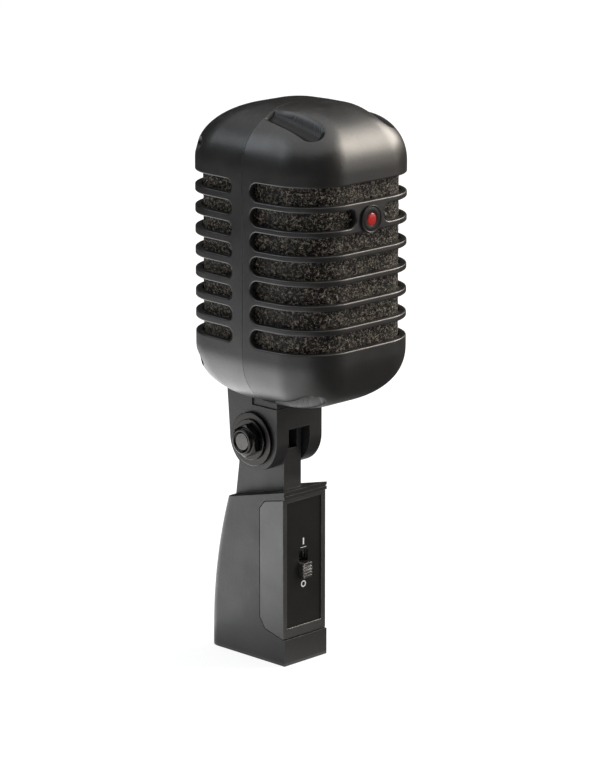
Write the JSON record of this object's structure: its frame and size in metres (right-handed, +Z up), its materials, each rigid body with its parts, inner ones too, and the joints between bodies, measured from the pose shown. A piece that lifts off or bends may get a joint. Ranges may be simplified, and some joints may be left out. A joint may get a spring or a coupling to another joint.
{
  "type": "dynamic microphone",
  "caption": "Upright vintage-style microphone: a slotted rounded head tilts on a clevis over a slim base with a slide switch, a rear socket and a stand thread.",
  "frame": {"origin": "centre of the stand thread at the bottom face of the base", "axes": "+Z up, -Y out of the front with the switch, +X to the right seen from the front, with the pivot nut on the -X side"},
  "size_m": [0.0568, 0.0665, 0.1905],
  "materials": {
    "shell_paint": "satin",
    "base_paint": "satin",
    "cover_paint": "satin",
    "plate_print": "matte",
    "foam": "matte",
    "badge": "gloss",
    "enamel": "gloss",
    "black_steel": "satin",
    "steel": "satin",
    "aluminium": "satin",
    "copper": "satin",
    "film": "matte",
    "rubber": "matte",
    "nylon": "matte",
    "knob_plastic": "matte",
    "board": "matte",
    "wire": "matte",
    "contact": "gloss"
  },
  "bodies": {
    "base": {"base_body": "base_paint", "front_cover": "cover_paint", "switch_plate": "plate_print", "switch_frame": "steel", "contact_board": "board", "xlr_insert": "nylon", "xlr_pin_1": "contact", "xlr_pin_2": "contact", "xlr_pin_3": "contact", "base_lead_1": "wire", "base_lead_2": "wire", "tongue_lead": "wire"},
    "head": {"front_shell": "shell_paint", "rear_shell": "shell_paint", "badge_disc": "badge", "badge_dot": "enamel", "front_foam": "foam", "rear_foam": "foam", "shell_screw_1": "black_steel", "shell_screw_2": "black_steel", "shell_screw_3": "black_steel", "shell_screw_4": "black_steel", "capsule_housing": "aluminium", "capsule_grille": "steel", "diaphragm": "film", "voice_coil": "copper", "top_plate": "steel", "pole_piece": "steel", "magnet": "black_steel", "magnet_pot": "steel", "shock_mount": "rubber", "capsule_carrier": "steel", "transformer_core": "steel", "transformer_coil": "copper", "head_lead": "wire", "clevis_bracket": "base_paint", "bracket_screw_1": "steel", "bracket_screw_2": "steel", "flat_washer": "black_steel", "lock_washer": "black_steel", "pivot_nut": "black_steel", "bolt_washer": "black_steel", "pivot_bolt": "black_steel", "friction_washer_1": "nylon", "friction_washer_2": "nylon"},
    "knob": {"switch_knob": "knob_plastic"}
  },
  "joints": [
    {"name": "head_tilt", "type": "hinge", "parent": "base", "child": "head", "pos_m": [0, -0.002, 0.0766], "axis": [1, 0, 0], "range_deg": [-45, 45]},
    {"name": "switch_slide", "type": "slide", "parent": "base", "child": "knob", "axis": [0, 0, 1], "range_m": [0, 0.0036]}
  ]
}
